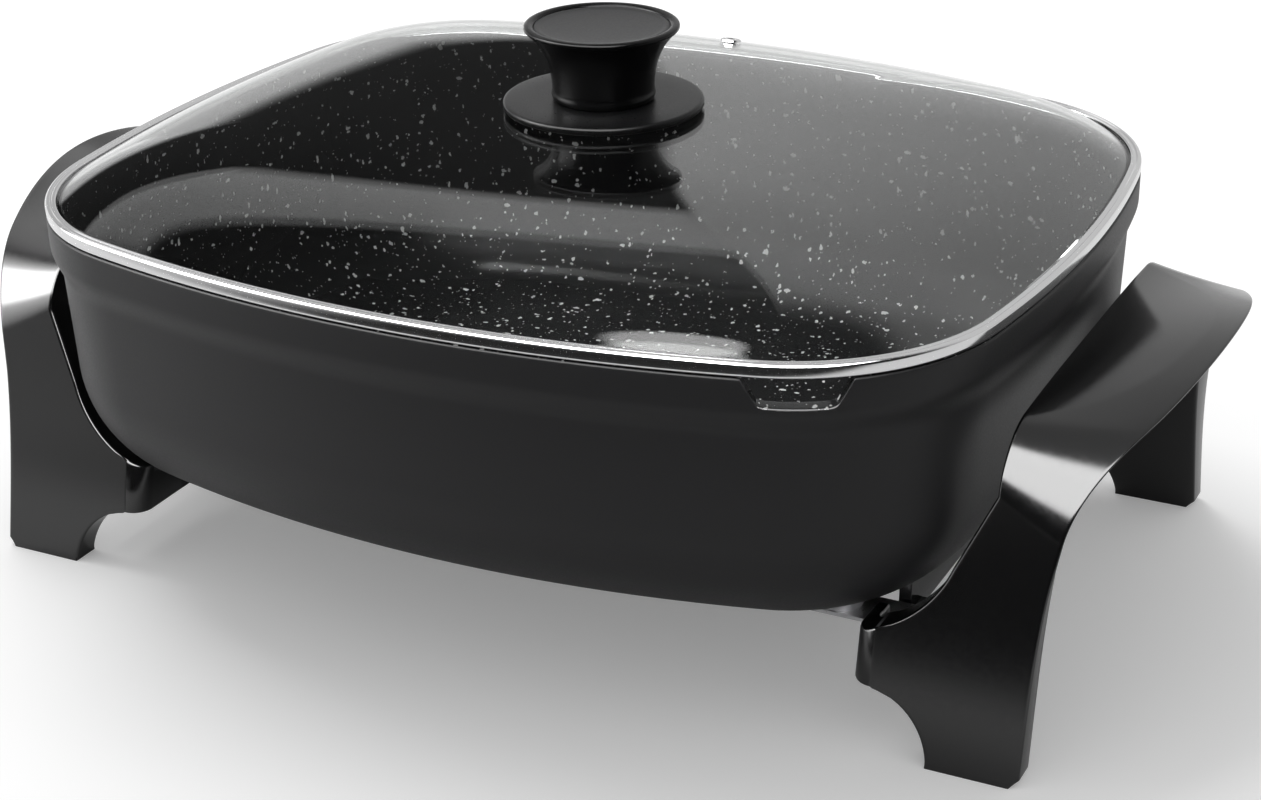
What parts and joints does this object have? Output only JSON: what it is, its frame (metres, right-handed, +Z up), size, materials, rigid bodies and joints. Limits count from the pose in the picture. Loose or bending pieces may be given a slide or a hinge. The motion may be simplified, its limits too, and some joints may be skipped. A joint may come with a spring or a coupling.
{
  "type": "electric skillet",
  "caption": "Deep rectangular electric skillet with a bowed cast pan, pour notch, domed glass lid with knob, and arched handle frames that serve as legs.",
  "frame": {"origin": "on the tabletop under the middle of the pan", "axes": "+X along the handles towards the right handle, -Y the front with the pour notch at its right corner, +Z up"},
  "size_m": [0.5226, 0.3444, 0.2205],
  "materials": {
    "coated_pan": "satin dark coating, speckled inside",
    "cast_underside": "as cast",
    "element_sheath": "dull grey sheath",
    "pin_metal": "nickel plated",
    "ceramic": "glazed white ceramic",
    "guard_black": "moulded black",
    "screw_steel": "zinc plated",
    "well_metal": "drawn tube",
    "strip_steel": "galvanised strip",
    "frame_black": "moulded black, satin top and glossy legs",
    "washer_steel": "zinc plated",
    "clear_glass": "clear tempered glass",
    "polished_steel": "polished",
    "eyelet_steel": "polished",
    "skirt_black": "semi-gloss black",
    "knob_black": "satin black",
    "cap_black": "semi-gloss black",
    "insert_brass": "turned",
    "knob_screw_steel": "stainless",
    "gasket_rubber": "silicone"
  },
  "bodies": {
    "base": {"pan": "coated_pan", "heater_casting": "cast_underside", "heating_element": "element_sheath", "terminal_pins": "pin_metal", "terminal_insulators": "ceramic", "terminal_guard": "guard_black", "guard_screws": "screw_steel", "sensor_well": "well_metal", "support_posts": "cast_underside", "support_bracket_left": "strip_steel", "support_bracket_right": "strip_steel", "bracket_screws": "screw_steel", "handle_frame_left": "frame_black", "handle_frame_right": "frame_black", "frame_washers": "washer_steel", "frame_screws": "screw_steel", "frame_nuts": "washer_steel"},
    "lid": {"lid_glass": "clear_glass", "lid_rim": "polished_steel", "vent_grommet": "eyelet_steel", "knob_skirt": "skirt_black", "knob": "knob_black", "knob_cap": "cap_black", "knob_insert": "insert_brass", "knob_screw": "knob_screw_steel", "knob_washer": "knob_screw_steel", "knob_gasket": "gasket_rubber"}
  },
  "joints": [
    {"name": "lid_lift", "type": "slide", "parent": "base", "child": "lid", "axis": [0, 0, 1], "range_m": [0, 0.12]}
  ]
}
